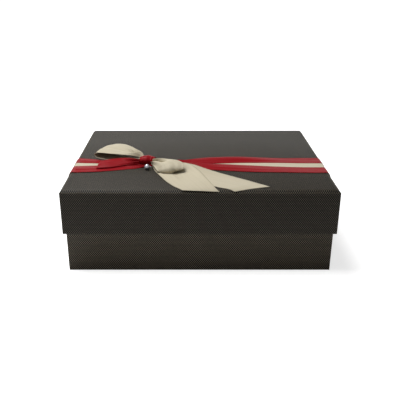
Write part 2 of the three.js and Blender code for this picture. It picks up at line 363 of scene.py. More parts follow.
def satin(name, tone, width):
    """Satin ribbon: a soft lengthwise gloss over fine threads, painted sheen streaks in its colour, and
    a matt woven selvedge.
    """
    made, tree, shader = material(name)
    where = node(tree, "ShaderNodeTexCoord").outputs["UV"]
    weave = place(tree, SHARED["weave"], {"Vector": where, "Thread": 0.28 * MM,
                                          "Half width": width / 2})
    # Paler and darker streaks along the ribbon's colour: painted sheen; the same streaks vary the
    # roughness.
    streaks_and_painted_sheen = spread(tree, weave["Streaks"], 0.0, 1.0)
    body = blend_colours(tree, streaks_and_painted_sheen, rgba(tone, 0.97), rgba(tone, 1.03))
    woven, selvedge_share = calc(tree, "MULTIPLY", weave["Selvedge"], 0.5), 0.78
    rough = calc(tree, "MULTIPLY_ADD", weave["Streaks"], 0.14, 0.30)
    coat(tree, shader, blend_colours(tree, woven, body, rgba(tone, selvedge_share)),
         calc(tree, "MULTIPLY_ADD", weave["Selvedge"], 0.25, rough))
    shader.inputs["Sheen Weight"].default_value = 0.02
    shader.inputs["Specular IOR Level"].default_value = 0.06
    shader.inputs["Sheen Roughness"].default_value = 0.4
    relief = calc(tree, "MULTIPLY_ADD", weave["Selvedge"], 2.0, weave["Threads"])
    bump(tree, shader, relief, 0.02 * MM, 0.6)
    return made


def pewter(name):
    """Cast metal: grey-blue, with soft tarnish in patches."""
    made, tree, shader = material(name)
    where = node(tree, "ShaderNodeTexCoord").outputs["Object"]
    tarnish = speckle(tree, where, 900.0, 3.0)
    fine = speckle(tree, where, 5200.0, 2.0)
    bright, dull = (0.52, 0.54, 0.60), (0.26, 0.27, 0.31)
    dulled = remap(tree, tarnish, 0.4, 0.7, 0.0, 1.0)
    coat(tree, shader, blend_colours(tree, dulled, rgba(bright), rgba(dull)),
         spread(tree, fine, 0.2, 0.38))
    shader.inputs["Metallic"].default_value = 1.0
    bump(tree, shader, fine, 0.02 * MM, 0.5)
    return made


# Mesh helpers

HARD_EDGE = math.radians(32)


def finish_mesh(name, bm, finish, body, replaced):
    """The piece as an object at the origin, with its material and body."""
    mesh = bpy.data.meshes.new(name)
    bm.to_mesh(mesh)
    bm.free()
    for face in mesh.polygons:
        face.use_smooth = True
    mesh.set_sharp_from_angle(angle=HARD_EDGE)
    mesh.materials.append(FINISH[finish])
    piece = bpy.data.objects.new(name, mesh)
    bpy.context.scene.collection.objects.link(piece)
    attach(piece, body)
    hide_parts(*replaced)
    return piece


def thicken(piece, thickness, offset, even=True):
    """Gives a skin its thickness: inwards at an offset of -1, both ways at 0 and outwards at 1."""
    shell = piece.modifiers.new("Thickness", "SOLIDIFY")
    shell.thickness = thickness
    shell.offset = offset
    shell.use_even_offset = even
    return piece


# The paper covers

BASE_FOOT = 0.0  # the height that the print on the base's walls starts from
FACING = 0.9  # least share of a normal along Z on a level face
UPRIGHT = 0.6  # least share of a normal along X or Y on a wall


def tray_skin(half, low, high, rim_at_top):
    """A cube with one side open, as the paper's outer face. Half is its half size in plan."""
    bm = bmesh.new()
    bmesh.ops.create_cube(bm, size=2.0)
    bmesh.ops.scale(bm, verts=bm.verts, vec=(half.x, half.y, (high - low) / 2))
    bmesh.ops.translate(bm, verts=bm.verts, vec=(0, 0, (high + low) / 2))
    flat = [f for f in bm.faces if abs(f.normal.z) > FACING and (rim_at_top or f.normal.z < 0)]
    bmesh.ops.delete(bm, geom=flat, context="FACES_ONLY")
    return bm


def turn_in(bm, half, rim, wall, depth):
    """Folds the open edge at the height of the rim inwards by the wall, and along inside it."""
    edges = [e for e in bm.edges
             if e.is_boundary and all(abs(v.co.z - rim) < SAME_PLACE for v in e.verts)]
    for inwards in (True, False):
        grown = bmesh.ops.extrude_edge_only(bm, edges=edges)["geom"]
        verts = [g for g in grown if isinstance(g, bmesh.types.BMVert)]
        edges = [g for g in grown if isinstance(g, bmesh.types.BMEdge)]
        if inwards:
            share = Vector(((half.x - wall) / half.x, (half.y - wall) / half.y, 1))
            bmesh.ops.scale(bm, verts=verts, vec=share)
        else:
            bmesh.ops.translate(bm, verts=verts, vec=(0, 0, depth))


def bevel_edges(bm, edges, offset, segments):
    """Bevels the edges, and returns the new faces."""
    return bmesh.ops.bevel(bm, geom=edges, offset=offset, segments=segments, profile=0.5,
                           affect="EDGES", material=-1, clamp_overlap=True)["faces"]


def folded(bm):
    """The edges where the paper turns by more than about 30 degrees."""
    least_turn = 0.5
    return [e for e in bm.edges if e.is_manifold and e.calc_face_angle(0) > least_turn]


def round_folds(bm, edges, radius):
    """Rounds the folds, and marks the rounded faces, where the print is rubbed."""
    layer = bm.faces.layers.float.new("fold")
    for face in bevel_edges(bm, edges, radius, 3):
        face[layer] = 1.0


def lay_print(bm, half, start, has_top):
    """Unfolds the cover flat for the print: U and V are metres on the sheet before it was folded.
    Start is the height of the walls' folded edge."""
    layer = bm.loops.layers.uv.new("sheet")
    for face in bm.faces:
        centre, normal = face.calc_center_median(), face.normal
        on_end = abs(centre.x) / half.x > abs(centre.y) / half.y
        if max(abs(normal.x), abs(normal.y)) > UPRIGHT:
            on_end = abs(normal.x) > abs(normal.y)
        on_top = has_top and normal.z > FACING
        reach = half.x if on_end else half.y
        side = math.copysign(1.0, centre.x if on_end else centre.y)
        for loop in face.loops:
            x, y, z = loop.vert.co
            if on_top:
                loop[layer].uv = (x, y)
                continue
            outwards = side * (reach + abs(z - start))
            loop[layer].uv = (outwards, y) if on_end else (x, outwards)


def cover_settings():
    """The sizes and colours of the covers."""
    return bpy.context.scene.gift_cover


def build_lid_cover():
    """The paper over the lid: a bevelled tray with a crease round its top, turned in at the lip."""
    looks = cover_settings()
    half = Vector((LID_HIGH.x, LID_HIGH.y))
    bm = tray_skin(half, LID_LOW.z, LID_HIGH.z, rim_at_top=False)
    top_edges = [e for e in bm.edges if all(v.co.z > LID_HIGH.z - MM for v in e.verts)]
    bevel_edges(bm, top_edges, LID_BEVEL, 1)
    panel = max(bm.faces, key=lambda f: f.calc_center_median().z)
    crease = looks.crease_width / 2
    for depth in (0.0, -looks.crease_depth, looks.crease_depth):
        bmesh.ops.inset_region(bm, faces=[panel], thickness=crease, depth=depth,
                               use_even_offset=True)
    turn_in(bm, half, LID_LOW.z, WALL, looks.turn_in)
    rounded = [e for e in folded(bm) if not in_crease(e, half)]
    round_folds(bm, rounded, looks.fold_radius)
    bmesh.ops.recalc_face_normals(bm, faces=bm.faces)
    raise_flaps(bm, half, looks)
    lay_print(bm, half, LID_HIGH.z, has_top=True)
    piece = finish_mesh("lid_cover", bm, "print", "lid", ["lid_wrap"])
    thicken(piece, looks.sheet, -1)


def in_crease(edge, half):
    """Whether an edge lies in the crease on the lid's top, inside the bevel."""
    middle = (edge.verts[0].co + edge.verts[1].co) / 2
    inset = LID_BEVEL + 0.2 * MM
    return (middle.z > LID_HIGH.z - MM and abs(middle.x) < half.x - inset
            and abs(middle.y) < half.y - inset)


def raise_flaps(bm, half, looks):
    """The end flaps close over the corner tabs of the long sides, and end just short of the edge."""
    foot_of_step, top_of_step = half.y - 0.9 * MM, half.y - 1.0 * MM
    for edge_at in (foot_of_step, top_of_step):
        for side in (-1, 1):
            bmesh.ops.bisect_plane(bm, geom=bm.verts[:] + bm.edges[:] + bm.faces[:], dist=MERGE,
                                   plane_co=(0, side * edge_at, 0), plane_no=(0, 1, 0))
    middle_of_step = (foot_of_step + top_of_step) / 2
    for vert in bm.verts:
        if abs(vert.co.x) > half.x - SAME_PLACE and abs(vert.co.y) < middle_of_step:
            vert.co.x += math.copysign(looks.flap_step, vert.co.x)


def build_base_cover():
    """The paper round the base, turned in over the rim."""
    looks = cover_settings()
    half = Vector((BASE_HIGH.x, BASE_HIGH.y))
    bm = tray_skin(half, BASE_LOW.z, BASE_HIGH.z, rim_at_top=True)
    turn_in(bm, half, BASE_HIGH.z, BASE_WALL, -looks.turn_in)
    round_folds(bm, folded(bm), looks.fold_radius)
    bmesh.ops.recalc_face_normals(bm, faces=bm.faces)
    raise_flaps(bm, half, looks)
    lay_print(bm, half, BASE_FOOT, has_top=False)
    piece = finish_mesh("base_cover", bm, "print_base", "base", ["base_wrap"])
    thicken(piece, looks.sheet, -1)


# Ribbons

FLAT = (0, 0, 0)  # no lift at the quarters
PLEATS = 5
HIGHEST_PLEAT = 2.2
HALVINGS = 14  # how often a search for the pleats' height halves its range
SHORTEST_SPAN = 0.05
LOOK_ROUND = 0.02  # how far along a ribbon its direction is read, in spans
PATCH = 9  # length of one ripple in the cloth


def rib(front, rear, lifts=FLAT, pleat=0.0):
    """One cross line of a ribbon: its two edge points, how far the cloth lifts between them at the
    quarters, and the share of its spare width that lies in pleats."""
    return (*front, *rear, *lifts, pleat)


def run_through(ribs, knots, at):
    """The rib at a place between the given ones, on a smooth line through them all."""
    last = len(ribs) - 1
    first = min(int(at), last - 1)
    share = at - first
    span = knots[first + 1] - knots[first]
    before = ribs[first - 1] if first else None
    after = ribs[first + 2] if first + 2 <= last else None
    a, b = ribs[first], ribs[first + 1]
    blend = share * share * (3 - 2 * share)
    leaving = share * (share - 1) ** 2
    arriving = share * share * (share - 1)
    made = []
    for k in range(len(a)):
        slope = (b[k] - a[k]) / span
        start = end = slope
        if before:
            back = knots[first] - knots[first - 1]
            start = (slope * back + (a[k] - before[k]) / back * span) / (back + span)
        if after:
            ahead = knots[first + 2] - knots[first + 1]
            end = (slope * ahead + (after[k] - b[k]) / ahead * span) / (ahead + span)
        made.append(a[k] + (b[k] - a[k]) * blend + span * (start * leaving + end * arriving))
    return made


def quarter_lift(lifts, t):
    """The lift at t, from -1 at the front edge to 1 at the rear one."""
    points = (0.0, *lifts, 0.0)
    at = (t + 1) * 2
    first = min(int(at), 3)
    share = at - first
    share = share * share * (3 - 2 * share)
    return points[first] * (1 - share) + points[first + 1] * share


def pleat_wave(t):
    """Uneven pleats across a ribbon, about 1 high, at t from -1 to 1."""
    place = t + 0.16 * math.sin(2.7 * t)
    height = 0.75 + 0.35 * math.sin(5.1 * t)
    return math.cos(PLEATS * math.pi * place) * height


def pleat_height(chord, width, lifts, waves):
    """The height of pleats that takes up the cloth's width between its two edges."""
    places = [-1 + 2 * k / (len(waves) - 1) for k in range(len(waves))]
    rises = [quarter_lift(lifts, t) for t in places]
    step_across = chord / (len(waves) - 1)
    low, high = 0.0, HIGHEST_PLEAT
    for _ in range(HALVINGS):
        height = (low + high) / 2
        line = [rise + height * wave for rise, wave in zip(rises, waves)]
        arc = sum(math.hypot(step_across, b - a) for a, b in zip(line, line[1:]))
        low, high = (height, high) if arc < width else (low, height)
    return low


def distance_along(knots, at):
    """How far along the ribbon a place between two ribs is."""
    first = min(int(at), len(knots) - 2)
    return knots[first] + (at - first) * (knots[first + 1] - knots[first])


def cross_line(ribs, knots, at, width, waves, face):
    """The edges of the cloth at a place, its lifts, its pleats' height and which way is up."""
    last = len(ribs) - 1
    here = run_through(ribs, knots, at)
    ahead = run_through(ribs, knots, min(at + LOOK_ROUND, last))
    behind = run_through(ribs, knots, max(at - LOOK_ROUND, 0))
    along = Vector([ahead[k] + ahead[k + 3] - behind[k] - behind[k + 3] for k in range(3)])
    front, rear, lifts = Vector(here[0:3]), Vector(here[3:6]), here[6:9]
    up = (rear - front).cross(along).normalized() * face
    height = here[9] * pleat_height((rear - front).length, width / MM, lifts, waves)
    return front, rear, lifts, height, up


def ribbon(name, ribs, width, finish, slot, replaced, held, rests_on, cloth, face=1, per_span=6,
           across=44, ripple=0.0, offset=1.0):
    """A woven ribbon through its ribs, as a sheet with thickness. Face is 1 where a ribbon that runs
    to the left shows its outer side upwards, and -1 where one that runs to the right does."""
    knots = [0.0]
    for a, b in zip(ribs, ribs[1:]):
        step = Vector([(b[k] + b[k + 3] - a[k] - a[k + 3]) / 2 for k in range(3)])
        knots.append(knots[-1] + max(step.length, SHORTEST_SPAN))
    spans = len(ribs) - 1
    bm = bmesh.new()
    bmesh.ops.create_grid(bm, x_segments=spans * per_span, y_segments=across, size=1.0)
    where = {}
    lines = {}
    waves = [pleat_wave(-1 + 2 * k / across) for k in range(across + 1)]
    for vert in bm.verts:
        at = round((vert.co.x + 1) / 2 * spans, 5)
        where[vert.index] = (at, vert.co.y)
        if at not in lines:
            lines[at] = cross_line(ribs, knots, at, width, waves, face)
    run = {at: distance_along(knots, at) for at in lines}
    for vert in bm.verts:
        at, t = where[vert.index]
        front, rear, lifts, pleat, up = lines[at]
        rise = quarter_lift(lifts, t) + pleat * pleat_wave(t)
        rise += ripple * noise.noise(Vector((t * 1.7, run[at] / PATCH, spans)))
        spot = front.lerp(rear, (t + 1) / 2) + up * rise
        vert.co = from_knot(*spot)
    layer = bm.loops.layers.uv.new("sheet")
    for patch in bm.faces:
        for loop in patch.loops:
            at, t = where[loop.vert.index]
            loop[layer].uv = (t * width / 2, run[at] * MM)
    if face == 1:
        bmesh.ops.reverse_faces(bm, faces=bm.faces)
    piece = finish_mesh(name, bm, finish, "lid", replaced)
    thicken(piece, cloth, offset, even=False)
    return piece


def ribbon_settings():
    """The sizes and colours of the ribbons."""
    return bpy.context.scene.gift_ribbon


def band(name, lift, edges, width, finish, slot, replaced, **more):
    """A ribbon over the lid, down both skirts and up inside them. Each of the edges, from left to
    right on the top, is (x, front y, front z, rear y, rear z, lifts, share in pleats)."""
    looks = ribbon_settings()
    off = lift + 0.15
    left, right = (LID_LOW.x - KNOT.x) / MM, (LID_HIGH.x - KNOT.x) / MM
    low = (LID_LOW.z - KNOT.z) / MM
    inner = WALL / MM
    bevel = LID_BEVEL / MM
    run_inside = 15.0
    corner = off * 0.7  # how far the ribbon stands off the bevel, along X and along Z
    ends = []
    for side, wall, row in ((-1, left, edges[0]), (1, right, edges[-1])):
        leg = [(wall - side * (inner + off), low + run_inside), (wall - side * (inner + off), low + 6),
               (wall - side * (inner + off), low + 0.9), (wall - side * (inner - 0.3), low - off),
               (wall - side * 0.4, low - off), (wall + side * off, low + 0.7),
               (wall + side * off, low + 8), (wall + side * off, low + 20),
               (wall + side * off, -20), (wall + side * off, -bevel - 4),
               (wall + side * off, -bevel - 0.5),
               (wall + side * (corner - 0.5), 0.5 - bevel + corner),
               (wall - side * (bevel - 0.5), lift - 0.1), (wall - side * (bevel + 0.7), lift + 0.05),
               (wall - side * (bevel + 5), lift + 0.05)]
        legs = [rib((x, row[1], z), (x, row[3], z)) for x, z in leg]
        ends.append(legs if side == -1 else legs[::-1])
    middle = [rib((x, fy, fz), (x, ry, rz), lifts, pleat)
              for x, fy, fz, ry, rz, lifts, pleat in edges]
    return ribbon(name, ends[0] + middle + ends[1], width, finish, slot, replaced, "stretched",
                  ["lid_cover"], looks.cloth, face=-1, per_span=4, across=32, **more)


def build_bands():
    """The cream ribbon and the two red ones, drawn together under the knot."""
    looks = ribbon_settings()
    cream = [
        (-75, -19, 0.05, 19, 0.05, FLAT, 0), (-40, -14, 0.05, 14, 0.05, FLAT, 0.05),
        (-15, -7, 0.3, 7, 0.3, FLAT, 0.12), (0, -5, 1.6, 5, 1.8, FLAT, 0.2),
        (20, -8, 0.3, 9, 0.3, FLAT, 0.12), (60, -14, 0.05, 15, 0.05, FLAT, 0.05),
        (115, -19, 0.05, 19, 0.05, FLAT, 0),
    ]
    band("band_cream_ribbon", 0.0, cream, looks.wide, "cream", "cream_satin", ["band_cream"])
    front = [
        (-80, -24.0, 0.35, -3.5, 0.35, (0.1, 0.3, 0.2), 0),
        (-63, -23.2, 0.35, -2.5, 0.5, (0.2, 0.5, 0.3), 0),
        (-44.4, -19.5, 0.35, -1.0, 0.6, (0.2, 0.4, 0.2), 0.1),
        (-25.6, -14.7, 0.35, 0.0, 0.9, (0.1, 0.2, 0.1), 0.3),
        (-10, -9.8, 0.5, 0.5, 2.0, FLAT, 0.5), (0, -6.5, 1.6, 0.5, 3.2, FLAT, 0.6),
        (12, -8, 1.2, 1.5, 5.0, FLAT, 0.6), (30, -9.5, 0.6, 2.0, 6.0, FLAT, 0.4),
        (49, -12, 0.4, 1.8, 5.8, FLAT, 0.3), (65, -14.5, 0.4, -2.0, 3.6, (0, 0.3, 0.2), 0.1),
        (82, -17.6, 0.35, -1.8, 2.4, (0.1, 0.5, 0.4), 0),
        (106, -21.2, 0.35, -2.6, 1.4, (0.2, 0.5, 0.4), 0),
        (130, -23.4, 0.35, -4.2, 0.8, (0.1, 0.3, 0.2), 0),
        (151, -24.0, 0.35, -5.8, 0.5, (0.1, 0.2, 0.2), 0),
        (185, -25.6, 0.35, -7.8, 0.35, FLAT, 0),
    ]
    band("band_red_front_ribbon", 0.3, front, looks.narrow, "red", "red_satin",
         ["band_red_front"], ripple=0.12)
    rear = [
        (-80, 8.2, 0.35, 24.6, 0.35, (0.1, 0.2, 0.1), 0),
        (-63, 6.8, 0.35, 20.5, 0.4, (0.2, 0.4, 0.2), 0.1),
        (-44, 4.4, 0.5, 17.0, 0.5, (0.2, 0.4, 0.2), 0.2), (-25, 2.6, 0.8, 13.0, 0.8, FLAT, 0.4),
        (-10, 1.5, 2.0, 8.5, 3.0, FLAT, 0.6), (0, 1.0, 3.2, 6.5, 5.0, FLAT, 0.6),
        (12, 1.5, 3.0, 8.0, 5.4, FLAT, 0.6), (23, 2.0, 2.2, 11.0, 3.2, FLAT, 0.5),
        (33, 2.5, 1.6, 12.5, 1.6, FLAT, 0.4), (45, 3.5, 1.0, 14.2, 2.3, (0.4, 0.8, 0.6), 0.3),
        (60, 5.0, 0.7, 18.0, 2.9, (0.6, 1.2, 1.0), 0.1), (82, 6.2, 0.4, 20.8, 3.3, (0.5, 1.3, 1.2), 0),
        (106, 8.1, 0.35, 23.0, 2.9, (0.3, 1.0, 1.0), 0), (131, 8.5, 0.35, 24.4, 1.5, (0.2, 0.6, 0.5), 0),
        (155, 8.2, 0.35, 25.0, 0.4, (0.1, 0.2, 0.1), 0), (185, 7.0, 0.35, 25.6, 0.35, FLAT, 0),
    ]
    band("band_red_rear_ribbon", 0.3, rear, looks.narrow, "red", "red_satin",
         ["band_red_rear"], ripple=0.12)


def bow_part(name, ribs, held, rests_on, **more):
    """One loop or tail of the cream bow."""
    looks = ribbon_settings()
    return ribbon(name, ribs, looks.wide, "cream", "cream_satin", ["bow_ribbon"], held, rests_on,
                  looks.cloth, offset=0.0, **more)


def build_bow():
    """Two loops and two tails, from the knot outwards."""
    left_loop = [
        rib((-4, 1, 6.5), (-5, 5, 7.5), FLAT, 1),
        rib((-10.5, 7.2, 9.8), (-8, 14.5, 9.8), (0.3, -0.8, 0.9), 1),
        rib((-19.5, 8.2, 10.6), (-13, 25.5, 10), (0.2, -3.4, 1.0), 0.8),
        rib((-32.5, 9.6, 10.6), (-18.5, 36, 9.7), (1.2, 1.8, 3.4), 0.3),
        rib((-44.5, 12.5, 10.2), (-24.5, 43, 10), (2.4, 4.0, 4.0)),
        rib((-56, 17.5, 9.8), (-31.5, 46.5, 9.6), (3.0, 4.4, 4.3)),
        rib((-62.4, 20, 8.9), (-36.5, 47.5, 8.6), (3.0, 4.6, 4.0)),
        rib((-65, 21.2, 6.8), (-39.5, 47.5, 6.6), (2.4, 3.8, 3.2)),
        rib((-63.5, 20.3, 4.4), (-38.5, 46, 4.4), (1.2, 2.0, 1.6)),
        rib((-55, 16.2, 2.8), (-34.5, 40, 2.2)),
        rib((-42, 13.2, 2.6), (-28, 34, 1.4), FLAT, 0.3),
        rib((-30, 10.5, 3.0), (-22, 27, 1.7), FLAT, 0.6),
        rib((-19, 7, 3.8), (-15, 18.5, 2.7), FLAT, 0.9),
        rib((-9.5, 3, 5), (-8.5, 9, 4.5), FLAT, 1),
        rib((-2.5, 0.5, 5), (-2.5, 4, 5), FLAT, 1),
    ]
    bow_part("bow_left_loop", left_loop, "folded", ["band_red_rear_ribbon", "lid_cover"],
             ripple=0.25)
    right_loop = [
        rib((5, -3.5, 4.5), (5, 1, 6.5), FLAT, 1),
        rib((5.2, -8, 4.4), (8.8, -3.5, 9.3), (2.0, -3.6, 0.9), 0.8),
        rib((6.2, -13, 5.0), (17, -8.5, 11.2), (3.4, -4.2, 1.8), 0.5),
        rib((8, -18.5, 5.4), (27, -13, 12.0), (4.4, -0.6, 2.6), 0.1),
        rib((9.4, -23, 5.0), (36, -18.5, 12.0), (4.2, 4.2, 3.2)),
        rib((10.8, -26.4, 4.4), (41.5, -26, 10.6), (3.6, 4.6, 3.0)),
        rib((11.8, -28.2, 3.7), (41.6, -30.6, 9.2), (3.0, 4.2, 2.2)),
        rib((12.4, -28.8, 3.1), (41, -32.6, 7.5), (3.0, 4.0, 1.6)),
        rib((12.0, -28.0, 2.5), (40, -30.8, 6.2), (2.2, 2.8, 0.9)),
        rib((10.8, -25, 2.4), (36, -23, 5.8), (0.3, 0.6, 0.2)),
        rib((9.6, -21, 2.5), (29, -16, 5.8), FLAT, 0.3),
        rib((7.5, -15, 3), (18, -10, 5.5), FLAT, 0.8),
        rib((5.2, -8, 3.2), (9, -4.5, 5), FLAT, 1),
        rib((5, -3.5, 3.4), (5.5, 0, 4.6), FLAT, 1),
    ]
    bow_part("bow_right_loop", right_loop, "folded", ["bow_front_tail"], face=-1, ripple=0.25)
    front_tail = [
        rib((4.5, -3.5, 3.0), (6.5, -2, 4.0), FLAT, 0.5),
        rib((5.8, -9, 2.4), (15, -5, 4.6), FLAT, 0.7),
        rib((9, -21, 1.4), (28, -9, 6.0), (0, -0.6, 0), 0.6),
        rib((13.1, -31.6, 1.3), (40, -15.5, 9.0), (-1.0, -2.8, -2.6), 0.2),
        rib((17.6, -42.8, 1.4), (49, -22, 9.0), (-1.2, -3.4, -3.4)),
        rib((21.3, -51.5, 1.3), (55.8, -31.2, 7.4), (-0.6, -2.4, -2.6)),
        rib((29.5, -65.6, 0.9), (63.2, -46.2, 5.0), (0, -1.0, -1.2)),
        rib((35.5, -73.0, 0.7), (70.5, -65, 2.8), (0.2, 0, 0)),
        rib((38.0, -75.4, 0.5), (74.8, -74.8, 1.1), (0.2, 0.3, 0.2)),
        rib((39.8, -77.3, 0.0), (78.3, -79.0, -1.0), (0.1, 0.2, 0.1)),
    ]
    bow_part("bow_front_tail", front_tail, "draped", ["bow_right_tail", "lid_cover"], face=-1,
             ripple=0.15)
    right_tail = [
        rib((4.5, -2.5, 2.4), (6.5, 0.5, 4.0), FLAT, 0.5),
        rib((15, -14, 1.6), (27, -3.5, 6.5), FLAT, 0.8),
        rib((27, -27.5, 1.0), (41, -13.5, 8.0), (0, -0.6, -0.4), 0.4),
        rib((38, -38.5, 0.7), (53, -19.0, 7.6), (-0.6, -1.6, -1.0), 0.1),
        rib((49, -48.5, 0.5), (66, -24.8, 5.0), (-0.4, -1.2, -0.9)),
        rib((60, -57.5, 0.4), (81, -32.8, 2.8), (0.1, -0.2, -0.2)),
        rib((71.4, -65.7, 0.4), (96, -41.5, 1.5), (0.2, 0.3, 0.2)),
        rib((82, -72.0, 0.4), (113, -53.5, 0.8), (0.3, 0.5, 0.3)),
        rib((88.5, -75.3, 0.4), (123, -61.7, 0.6), (0.3, 0.5, 0.3)),
        rib((93.6, -78.6, -0.9), (131.3, -68.6, 0.5), (0.3, 0.4, 0.3)),
    ]
    bow_part("bow_right_tail", right_tail, "draped", ["lid_cover"], face=-1, ripple=0.15)


def build_knot():
    """The red ribbon round the bow's waist, and its loop, which lies flat to the left."""
    looks = ribbon_settings()
    wrap = []
    turns, steps, start = 1.15, 16, math.radians(200)
    deep, high, slant = 5.4, 4.4, 1.4
    for step in range(steps + 1):
        angle = start - 2 * math.pi * turns * step / steps
        grow = 0.5 * step / steps
        skew = slant * math.cos(angle)
        y, z = (deep + grow) * math.cos(angle), (high + grow) * math.sin(angle)
        wrap.append(rib((-8.4 + skew, 2.4 + 0.85 * y, 6.6 + 0.74 * z),
                        (8.2 + skew, 1.2 + 0.8 * y, 6.2 + 0.66 * z), (1.2, 1.9, 1.1), 0.28))
    ribbon("knot_wrap", wrap, looks.narrow, "red", "red_satin", ["knot_ribbon"], "gathered",
           ["bow_left_loop", "bow_right_loop"], looks.cloth, per_span=4, across=30, ripple=0.2,
           offset=0.0)
    loop = [
        rib((-3, -1.5, 5), (-3, 2.5, 6.5), FLAT, 1),
        rib((-9, -1.6, 4.2), (-9, 3.8, 6.9), FLAT, 1),
        rib((-15.1, -1.8, 3.6), (-15.6, 4.7, 7), FLAT, 0.7),
        rib((-20.4, -2.9, 3.1), (-21.2, 6.9, 7), (0.3, 0.5, 0.3), 0.5),
        rib((-27, -5.6, 2.5), (-28.2, 7.7, 6.8), (0.6, 0.9, 0.6), 0.3),
        rib((-35.7, -9.6, 2.2), (-37.4, 7, 6.3), (0.8, 1.2, 0.8)),
        rib((-44.2, -13, 2.2), (-46, 4.6, 6), (0.9, 1.4, 0.9)),
        rib((-51.5, -14, 2.2), (-51, 3, 5.4), (0.7, 1.1, 0.8)),
        rib((-57.4, -14.4, 1.6), (-54, 1.5, 4.2), (0.4, 0.7, 0.5)),
        rib((-56, -14.8, 1.0), (-53, 1.5, 2.8), (0.1, 0.3, 0.2)),
        rib((-44, -14.2, 1.0), (-44.5, 3.5, 2.4)),
        rib((-35.7, -10.3, 1.0), (-36, 5, 2.4)),
        rib((-27, -6.2, 1.2), (-27, 5, 2.6), FLAT, 0.3),
        rib((-20, -3.4, 1.6), (-20, 4.6, 3), FLAT, 0.8),
        rib((-9, -2, 2.6), (-9, 2.6, 4), FLAT, 1),
    ]
    ribbon("knot_loop", loop, looks.narrow, "red", "red_satin", ["knot_ribbon"], "folded",
           ["band_red_front_ribbon"], looks.cloth, ripple=0.15, offset=0.0)


# The bead

SPIN_STEPS = 48


def spun(name, profile, centre, replaced):
    """A turned metal piece: a closed [x, radius] outline spun round a line along X."""
    bm = bmesh.new()
    verts = [bm.verts.new((centre.x + x * MM, centre.y, centre.z + r * MM)) for x, r in profile]
    edges = [bm.edges.new((a, b)) for a, b in zip(verts, verts[1:] + verts[:1])]
    bmesh.ops.spin(bm, geom=verts + edges, cent=centre, axis=(1, 0, 0), angle=2 * math.pi,
                   steps=SPIN_STEPS, use_merge=True)
    bmesh.ops.remove_doubles(bm, verts=bm.verts, dist=MERGE)
    bmesh.ops.recalc_face_normals(bm, faces=bm.faces)
    return finish_mesh(name, bm, "metal", "lid", replaced)


def build_bead():
    """A drilled ball with a collar at each end of its hole, and the stop on its thread."""
    centre = (BEAD_LOW + BEAD_HIGH) / 2
    radius = (BEAD_HIGH.z - BEAD_LOW.z) / 2 / MM
    hole, collar = 0.7, 1.45
    end, shoulder, rounding = radius * 0.98, radius * 0.93, 0.15
    outline = [(-end, hole), (-end, collar - rounding), (-shoulder, collar)]
    first, sweep, steps = 152, 124, 16
    for step in range(steps + 1):
        angle = math.radians(first - step * sweep / steps)
        outline.append((radius * math.cos(angle), radius * math.sin(angle)))
    outline += [(shoulder, collar), (end, collar - rounding), (end, hole)]
    spun("bead_body", outline, centre, ["bead"])
    middle = (CAP_LOW + CAP_HIGH) / 2
    cap, reach = (CAP_HIGH.z - CAP_LOW.z) / 2 / MM, (CAP_HIGH.x - CAP_LOW.x) / 2 / MM
    thread = 0.25
    cap_line = [(-reach, thread), (-reach, cap * 0.7), (-reach * 0.7, cap), (reach * 0.2, cap),
                (reach * 0.7, cap * 0.8), (reach, cap * 0.45), (reach, thread)]
    spun("bead_stop", cap_line, middle, ["bead_cap"])


# Boards and liners that stay as they are


def finish_nodes():
    """Gives each board, stay and liner its material."""
    for name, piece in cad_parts.items():
        if "corner_stay" in name:
            choice, slot = "kraft", "kraft_stay"
        elif name.endswith("_board"):
            choice, slot = "board", "greyboard"
        elif name.endswith("_liner"):
            choice, slot = "liner", "liner_paper"
        elif name == "base_bottom_paper":
            choice, slot = "print_flat", "printed_paper"
        else:
            continue
        piece.data.materials.clear()
        piece.data.materials.append(FINISH[choice])


def build_finishes():
    """The node groups, the materials, and the pieces that keep their own shape."""
    looks, cloth = cover_settings(), ribbon_settings()
    SHARED.update(dots=printed_dots(), grain=paper_grain(), weave=satin_weave())
    FINISH.update(
        print=printed_paper("Printed paper", looks, True),
        # The base's paper and the sheet under it are the lid's paper painted paler: painted light.
        print_base=printed_paper("Printed paper, base", looks, True, looks.base_painted_light),
        print_flat=printed_paper("Printed paper, flat", looks, False, looks.base_painted_light),
        liner=plain_paper("Liner paper", (0.045, 0.02, 0.011), 0.6 * MM, 0.85),
        board=greyboard("Greyboard"),
        kraft=kraft("Kraft stay"),
        cream=satin("Cream satin", cloth.cream, cloth.wide),
        red=satin("Red satin", cloth.red, cloth.narrow),
        metal=pewter("Pewter"),
    )
    finish_nodes()


# The stage

FLOOR_HALF = 6.0
FLOOR_TONE = 0.8
FLOOR_BOUNCE = 0.15  # what the floor adds to the light on the box
NEAR_GLOW, FAR_GLOW = 0.7, 1.0  # what the view adds to the floor by the box and far from it
NEAR, FAR = 0.45, 1.0  # where the glow starts to grow and where it is whole
BRIGHT_BELOW, DIM_ABOVE = 0.33, 0.47  # heights of a mirrored direction, as its Z
MIRRORED_LOW, MIRRORED_HIGH = 1.0, 0.3  # strength of the surround, as glossy faces show it
LAMPS_AIM_AT = Vector((0, 0, 0.05))
CAMERA_AT = Vector((-10.651, -658.847, 309.697)) * MM
CAMERA_SHIFT = (0.0257, -0.0018)
SENSOR = 36.0


